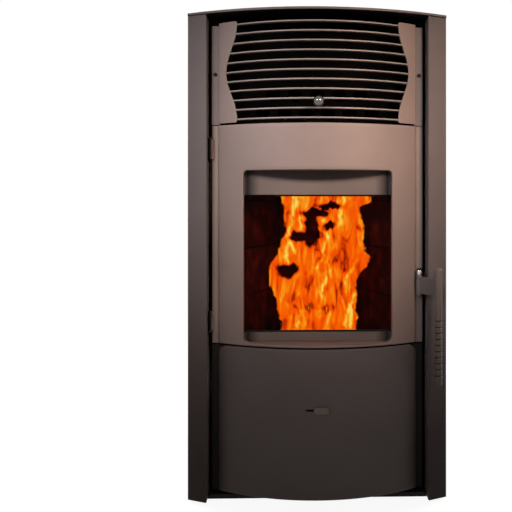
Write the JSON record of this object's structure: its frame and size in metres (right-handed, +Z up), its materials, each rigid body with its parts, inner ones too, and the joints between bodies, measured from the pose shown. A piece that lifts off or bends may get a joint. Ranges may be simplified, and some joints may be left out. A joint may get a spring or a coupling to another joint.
{
  "type": "pellet stove",
  "caption": "Free-standing pellet stove with a bowed glazed fire door, a louvred hot-air outlet above it, a bowed ash drawer below, a top hopper and a rear flue.",
  "frame": {"origin": "centre of the bounding box's base, on the floor", "axes": "+X to the stove's right as seen from the front, +Y to the rear, +Z up"},
  "size_m": [0.53, 0.6238, 1.0238],
  "materials": {
    "casing_paint": "matt bronze powder coat",
    "dark_paint": "dark brown satin paint",
    "black_paint": "matt black stove paint",
    "stove_iron": "bare heat-darkened steel and iron",
    "firebrick": "sooty firebrick board",
    "zinc_steel": "galvanised sheet",
    "chrome": "polished chrome",
    "grip_paint": "satin grey-brown enamel",
    "sealing_rope": "woven glass rope",
    "black_plastic": "fine textured plastic",
    "button_plastic": "satin grey buttons",
    "display": "dark display window",
    "door_glass": "clear ceramic glass"
  },
  "bodies": {
    "root": {"base_pan": "black_paint", "foot_front_left": "black_plastic", "foot_front_right": "black_plastic", "foot_rear_left": "black_plastic", "foot_rear_right": "black_plastic", "side_panel_left": "casing_paint", "side_panel_right": "casing_paint", "front_column_left": "casing_paint", "front_column_right": "casing_paint", "rear_panel": "black_paint", "top_plate": "casing_paint", "louvre_grille": "casing_paint", "grille_screw_left": "zinc_steel", "grille_screw_right": "zinc_steel", "outlet_box": "black_paint", "firebox_shell": "stove_iron", "firebox_back_liner": "firebrick", "firebox_side_liner_left": "firebrick", "firebox_side_liner_right": "firebrick", "burn_pot": "stove_iron", "heat_exchanger": "stove_iron", "exhaust_duct": "stove_iron", "hopper": "zinc_steel", "hopper_gasket": "sealing_rope", "auger_tube": "stove_iron", "auger_motor": "zinc_steel", "exhaust_blower_housing": "zinc_steel", "flue_collar": "black_paint", "air_inlet_pipe": "zinc_steel", "igniter": "zinc_steel", "room_blower_housing": "zinc_steel", "power_inlet": "black_plastic", "control_housing": "black_plastic", "control_display": "display", "latch_keeper": "zinc_steel", "hinge_pin_upper": "black_paint", "hinge_pin_lower": "black_paint"},
    "door": {"door_outer_plate": "casing_paint", "door_inner_frame": "dark_paint", "door_glass": "door_glass", "glass_retainer": "zinc_steel", "door_gasket": "sealing_rope", "handle_pivot_mount": "dark_paint", "handle_pin": "chrome"},
    "handle": {"handle_bracket": "grip_paint", "handle_grip": "grip_paint"},
    "ash_drawer": {"ash_drawer_front": "dark_paint", "ash_drawer_box": "zinc_steel"},
    "drawer_latch": {"drawer_latch_tab": "casing_paint"},
    "lid": {"hopper_lid": "black_paint", "hopper_lid_handle": "chrome"},
    "tube_cleaner": {"cleaning_rod": "chrome", "cleaning_knob": "chrome", "scraper_plate": "stove_iron"},
    "auger": {"auger_screw": "stove_iron"},
    "exhaust_fan": {"exhaust_impeller": "zinc_steel"},
    "room_fan": {"room_blower_wheel": "zinc_steel"},
    "button_1": {"control_button_1": "button_plastic"},
    "button_2": {"control_button_2": "button_plastic"},
    "button_3": {"control_button_3": "button_plastic"}
  },
  "joints": [
    {"name": "door_hinge", "type": "hinge", "parent": "root", "child": "door", "pos_m": [-0.219, -0.22209, 0.5], "axis": [0, 0, -1], "range_deg": [0, 100]},
    {"name": "handle_turn", "type": "hinge", "parent": "door", "child": "handle", "pos_m": [0.209, -0.22809, 0.442], "axis": [0, 0, -1], "range_deg": [0, 55]},
    {"name": "drawer_slide", "type": "slide", "parent": "root", "child": "ash_drawer", "axis": [0, -1, 0], "range_m": [0, 0.22]},
    {"name": "latch_slide", "type": "slide", "parent": "ash_drawer", "child": "drawer_latch", "axis": [-1, 0, 0], "range_m": [0, 0.015]},
    {"name": "lid_hinge", "type": "hinge", "parent": "root", "child": "lid", "pos_m": [-0.04, 0.24095, 1.0025], "axis": [-1, 0, 0], "range_deg": [0, 80]},
    {"name": "cleaner_slide", "type": "slide", "parent": "root", "child": "tube_cleaner", "axis": [0, -1, 0], "range_m": [0, 0.15]},
    {"name": "auger_spin", "type": "hinge", "parent": "root", "child": "auger", "pos_m": [0, 0.19295, 0.563], "axis": [0, -0.8, 0.6], "continuous": true},
    {"name": "exhaust_fan_spin", "type": "hinge", "parent": "root", "child": "exhaust_fan", "pos_m": [0.13, 0.1, 0.255], "axis": [0, 1, 0], "continuous": true},
    {"name": "room_fan_spin", "type": "hinge", "parent": "root", "child": "room_fan", "pos_m": [-0.09, 0.15695, 0.068], "axis": [1, 0, 0], "continuous": true},
    {"name": "button_1_press", "type": "slide", "parent": "root", "child": "button_1", "axis": [0, 0, -1], "range_m": [0, 0.0015], "stiffness_N_per_m": 400, "springref_m": -0.001},
    {"name": "button_2_press", "type": "slide", "parent": "root", "child": "button_2", "axis": [0, 0, -1], "range_m": [0, 0.0015], "stiffness_N_per_m": 400, "springref_m": -0.001},
    {"name": "button_3_press", "type": "slide", "parent": "root", "child": "button_3", "axis": [0, 0, -1], "range_m": [0, 0.0015], "stiffness_N_per_m": 400, "springref_m": -0.001}
  ]
}
